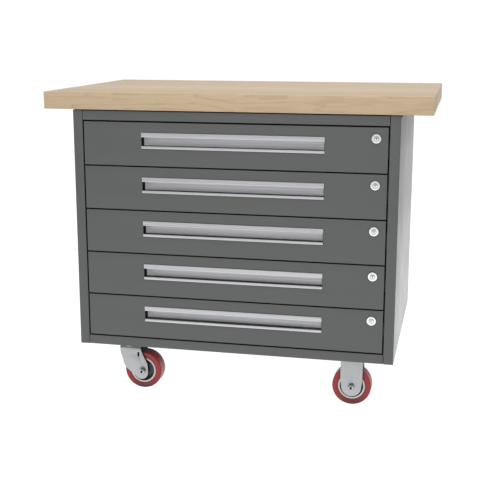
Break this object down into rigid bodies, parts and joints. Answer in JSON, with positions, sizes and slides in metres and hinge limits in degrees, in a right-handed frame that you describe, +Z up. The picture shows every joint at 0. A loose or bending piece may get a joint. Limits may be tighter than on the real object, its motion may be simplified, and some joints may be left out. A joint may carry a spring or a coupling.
{
  "type": "drawer workbench",
  "caption": "Steel drawer cabinet on casters with a thick overhanging wooden worktop, recessed full-grip pulls, and a key lock on each drawer.",
  "frame": {"origin": "on the floor under the middle of the worktop", "axes": "+X to the right along the worktop, the drawers face -Y, +Z up"},
  "size_m": [1.219, 0.762, 0.988],
  "materials": {
    "maple": "oiled hard maple, edge-glued staves",
    "cabinet_paint": "satin powder coat",
    "drawer_paint": "satin powder coat",
    "zinc_plate": "zinc plated",
    "caster_zinc": "bright zinc plated pressings",
    "bolt_zinc": "zinc plated fasteners",
    "pull_aluminium": "brushed lengthwise",
    "black_plastic": "moulded pull end caps, trough strips and lock washers",
    "wheel_web": "dark paint on the wheel's web and hub",
    "lock_chrome": "satin chrome",
    "lock_plug_steel": "turned steel plug, zinc plated cam",
    "wheel_core": "cast",
    "red_tread": "cast polyurethane"
  },
  "bodies": {
    "cabinet": {"worktop": "maple", "left_side": "cabinet_paint", "right_side": "cabinet_paint", "back_panel": "cabinet_paint", "base_pan": "cabinet_paint", "top_rails": "cabinet_paint", "slide_posts": "zinc_plate", "slide_rails": "zinc_plate", "worktop_screws": "zinc_plate", "caster_bolts": "zinc_plate", "swivel_plates": "caster_zinc", "rigid_forks": "caster_zinc", "rigid_axles": "bolt_zinc"},
    "drawer_1": {"drawer_front_1": "cabinet_paint", "drawer_box_1": "drawer_paint", "pull_1": "pull_aluminium", "lock_barrel_1": "lock_chrome", "drawer_runners_1": "zinc_plate"},
    "slide_middle_1": {"middle_slides_1": "zinc_plate"},
    "lock_1": {"lock_plug_1": "lock_plug_steel"},
    "drawer_2": {"drawer_front_2": "cabinet_paint", "drawer_box_2": "drawer_paint", "pull_2": "pull_aluminium", "lock_barrel_2": "lock_chrome", "drawer_runners_2": "zinc_plate"},
    "slide_middle_2": {"middle_slides_2": "zinc_plate"},
    "lock_2": {"lock_plug_2": "lock_plug_steel"},
    "drawer_3": {"drawer_front_3": "cabinet_paint", "drawer_box_3": "drawer_paint", "pull_3": "pull_aluminium", "lock_barrel_3": "lock_chrome", "drawer_runners_3": "zinc_plate"},
    "slide_middle_3": {"middle_slides_3": "zinc_plate"},
    "lock_3": {"lock_plug_3": "lock_plug_steel"},
    "drawer_4": {"drawer_front_4": "cabinet_paint", "drawer_box_4": "drawer_paint", "pull_4": "pull_aluminium", "lock_barrel_4": "lock_chrome", "drawer_runners_4": "zinc_plate"},
    "slide_middle_4": {"middle_slides_4": "zinc_plate"},
    "lock_4": {"lock_plug_4": "lock_plug_steel"},
    "drawer_5": {"drawer_front_5": "cabinet_paint", "drawer_box_5": "drawer_paint", "pull_5": "pull_aluminium", "lock_barrel_5": "lock_chrome", "drawer_runners_5": "zinc_plate"},
    "slide_middle_5": {"middle_slides_5": "zinc_plate"},
    "lock_5": {"lock_plug_5": "lock_plug_steel"},
    "swivel_front": {"swivel_fork_front": "caster_zinc", "swivel_axle_front": "bolt_zinc"},
    "swivel_wheel_front": {"swivel_wheel_core_front": "wheel_core", "swivel_wheel_tread_front": "red_tread"},
    "rigid_wheel_front": {"rigid_wheel_core_front": "wheel_core", "rigid_wheel_tread_front": "red_tread"},
    "swivel_rear": {"swivel_fork_rear": "caster_zinc", "swivel_axle_rear": "bolt_zinc"},
    "swivel_wheel_rear": {"swivel_wheel_core_rear": "wheel_core", "swivel_wheel_tread_rear": "red_tread"},
    "rigid_wheel_rear": {"rigid_wheel_core_rear": "wheel_core", "rigid_wheel_tread_rear": "red_tread"}
  },
  "joints": [
    {"name": "drawer_1_slide", "type": "slide", "parent": "cabinet", "child": "drawer_1", "axis": [0, -1, 0], "range_m": [0, 0.65]},
    {"name": "middle_1_slide", "type": "slide", "parent": "cabinet", "child": "slide_middle_1", "axis": [0, -1, 0], "range_m": [0, 0.325]},
    {"name": "lock_1_turn", "type": "hinge", "parent": "drawer_1", "child": "lock_1", "pos_m": [0.4435, -0.377, 0.8635], "axis": [0, -1, 0], "range_deg": [0, 90]},
    {"name": "drawer_2_slide", "type": "slide", "parent": "cabinet", "child": "drawer_2", "axis": [0, -1, 0], "range_m": [0, 0.65]},
    {"name": "middle_2_slide", "type": "slide", "parent": "cabinet", "child": "slide_middle_2", "axis": [0, -1, 0], "range_m": [0, 0.325]},
    {"name": "lock_2_turn", "type": "hinge", "parent": "drawer_2", "child": "lock_2", "pos_m": [0.4435, -0.377, 0.7227], "axis": [0, -1, 0], "range_deg": [0, 90]},
    {"name": "drawer_3_slide", "type": "slide", "parent": "cabinet", "child": "drawer_3", "axis": [0, -1, 0], "range_m": [0, 0.65]},
    {"name": "middle_3_slide", "type": "slide", "parent": "cabinet", "child": "slide_middle_3", "axis": [0, -1, 0], "range_m": [0, 0.325]},
    {"name": "lock_3_turn", "type": "hinge", "parent": "drawer_3", "child": "lock_3", "pos_m": [0.4435, -0.377, 0.5819], "axis": [0, -1, 0], "range_deg": [0, 90]},
    {"name": "drawer_4_slide", "type": "slide", "parent": "cabinet", "child": "drawer_4", "axis": [0, -1, 0], "range_m": [0, 0.65]},
    {"name": "middle_4_slide", "type": "slide", "parent": "cabinet", "child": "slide_middle_4", "axis": [0, -1, 0], "range_m": [0, 0.325]},
    {"name": "lock_4_turn", "type": "hinge", "parent": "drawer_4", "child": "lock_4", "pos_m": [0.4435, -0.377, 0.4411], "axis": [0, -1, 0], "range_deg": [0, 90]},
    {"name": "drawer_5_slide", "type": "slide", "parent": "cabinet", "child": "drawer_5", "axis": [0, -1, 0], "range_m": [0, 0.65]},
    {"name": "middle_5_slide", "type": "slide", "parent": "cabinet", "child": "slide_middle_5", "axis": [0, -1, 0], "range_m": [0, 0.325]},
    {"name": "lock_5_turn", "type": "hinge", "parent": "drawer_5", "child": "lock_5", "pos_m": [0.4435, -0.377, 0.3003], "axis": [0, -1, 0], "range_deg": [0, 90]},
    {"name": "swivel_front_turn", "type": "hinge", "parent": "cabinet", "child": "swivel_front", "pos_m": [-0.365, -0.296, 0.145], "axis": [0, 0, 1], "continuous": true},
    {"name": "swivel_wheel_front_spin", "type": "hinge", "parent": "swivel_front", "child": "swivel_wheel_front", "pos_m": [-0.318, -0.296, 0.0625], "axis": [0, 1, 0], "continuous": true},
    {"name": "rigid_wheel_front_spin", "type": "hinge", "parent": "cabinet", "child": "rigid_wheel_front", "pos_m": [0.381, -0.296, 0.0625], "axis": [0, 1, 0], "continuous": true},
    {"name": "swivel_rear_turn", "type": "hinge", "parent": "cabinet", "child": "swivel_rear", "pos_m": [-0.365, 0.296, 0.145], "axis": [0, 0, 1], "continuous": true},
    {"name": "swivel_wheel_rear_spin", "type": "hinge", "parent": "swivel_rear", "child": "swivel_wheel_rear", "pos_m": [-0.318, 0.296, 0.0625], "axis": [0, 1, 0], "continuous": true},
    {"name": "rigid_wheel_rear_spin", "type": "hinge", "parent": "cabinet", "child": "rigid_wheel_rear", "pos_m": [0.381, 0.296, 0.0625], "axis": [0, 1, 0], "continuous": true}
  ],
  "couplings": [
    {"joint": "middle_1_slide", "follows": "drawer_1_slide", "ratio": 0.5},
    {"joint": "middle_2_slide", "follows": "drawer_2_slide", "ratio": 0.5},
    {"joint": "middle_3_slide", "follows": "drawer_3_slide", "ratio": 0.5},
    {"joint": "middle_4_slide", "follows": "drawer_4_slide", "ratio": 0.5},
    {"joint": "middle_5_slide", "follows": "drawer_5_slide", "ratio": 0.5}
  ]
}
